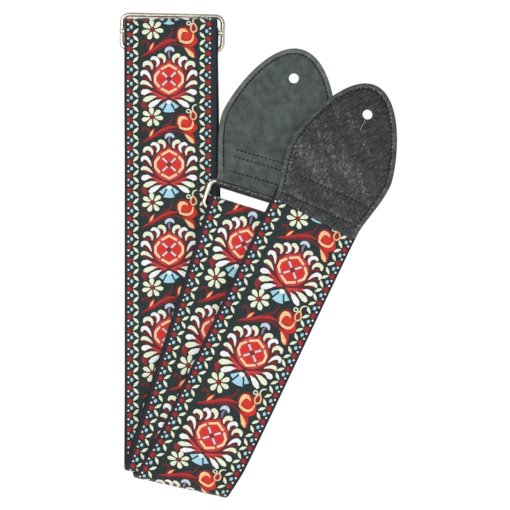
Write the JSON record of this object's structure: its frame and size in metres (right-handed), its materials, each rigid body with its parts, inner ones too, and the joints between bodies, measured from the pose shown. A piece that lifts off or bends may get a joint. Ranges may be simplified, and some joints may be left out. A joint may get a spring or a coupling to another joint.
{
  "type": "guitar strap",
  "caption": "Adjustable guitar strap of ribbon-faced webbing folded flat, with leather end tabs, a wire ring, a wire slider and slit button holes.",
  "frame": {"origin": "on the floor under the middle of the folded strap", "axes": "+Y up the folded strap from its bottom folds to the slider, +Z out of its face"},
  "size_m": [0.1521, 0.2663, 0.0177],
  "materials": {
    "webbing": "close woven black webbing",
    "ribbon": "jacquard ribbon, floral on a dark ground",
    "leather": "pebbled glossy black leather",
    "lining": "matte dark grey flesh side",
    "thread": "waxed black thread",
    "nickel_wire": "polished nickel plated wire"
  },
  "bodies": {
    "strap": {"front_fold_webbing": "webbing", "front_fold_ribbon": "ribbon", "back_run_webbing": "webbing", "back_run_ribbon": "ribbon", "top_fold_webbing": "webbing", "top_fold_ribbon": "ribbon", "left_run_webbing": "webbing", "left_run_ribbon": "ribbon", "inner_fold_webbing": "webbing", "inner_fold_ribbon": "ribbon", "middle_fold_webbing": "webbing", "middle_fold_ribbon": "ribbon", "return_run_webbing": "webbing", "return_run_ribbon": "ribbon", "return_lead_webbing": "webbing", "return_lead_ribbon": "ribbon"},
    "front_flap": {"front_run_webbing": "webbing", "front_run_ribbon": "ribbon", "front_tab_face": "leather", "front_tab_lining": "lining", "front_tab_edge_stitches": "thread", "front_tab_cross_stitches": "thread"},
    "inner_flap": {"under_run_webbing": "webbing", "under_run_ribbon": "ribbon", "ring_loop_webbing": "webbing", "ring_loop_ribbon": "ribbon", "middle_run_webbing": "webbing", "middle_run_ribbon": "ribbon"},
    "ring": {"ring": "nickel_wire"},
    "rear_tab": {"rear_tab_face": "leather", "rear_tab_lining": "lining", "rear_tab_edge_stitches": "thread", "rear_tab_cross_stitches": "thread"},
    "slider": {"slider_loop_webbing": "webbing", "slider_loop_ribbon": "ribbon", "slider_loop_stitches": "thread", "slider_frame": "nickel_wire", "slider_mid_bar": "nickel_wire"}
  },
  "joints": [
    {"name": "front_flap_fold", "type": "hinge", "parent": "strap", "child": "front_flap", "pos_m": [-0.0397, -0.1229, 0.0062], "axis": [0.976, -0.2177, 0], "range_deg": [0, 150], "deforming": ["front_fold_webbing", "front_fold_ribbon"]},
    {"name": "inner_flap_fold", "type": "hinge", "parent": "strap", "child": "inner_flap", "pos_m": [-0.0481, -0.1186, 0.0062], "axis": [0.9882, -0.1534, 0], "range_deg": [0, 75], "deforming": ["inner_fold_webbing", "inner_fold_ribbon", "middle_fold_webbing", "middle_fold_ribbon"]},
    {"name": "ring_swing", "type": "hinge", "parent": "inner_flap", "child": "ring", "pos_m": [-0.00419, 0.01778, 0.00985], "axis": [0.9538, -0.3003, 0], "range_deg": [0, 30]},
    {"name": "rear_tab_swing", "type": "hinge", "parent": "ring", "child": "rear_tab", "pos_m": [0.00031, 0.03209, 0.00985], "axis": [0.9538, -0.3003, 0], "range_deg": [-100, 0]},
    {"name": "slider_slide", "type": "slide", "parent": "strap", "child": "slider", "axis": [0.0166, -0.9999, 0], "range_m": [0, 0.02], "deforming": ["return_lead_webbing", "return_lead_ribbon"]}
  ],
  "couplings": [
    {"joint": "inner_flap_fold", "follows": "front_flap_fold", "ratio": 0.5},
    {"joint": "ring_swing", "follows": "front_flap_fold", "ratio": 0.2},
    {"joint": "rear_tab_swing", "follows": "front_flap_fold", "ratio": -0.66667}
  ]
}
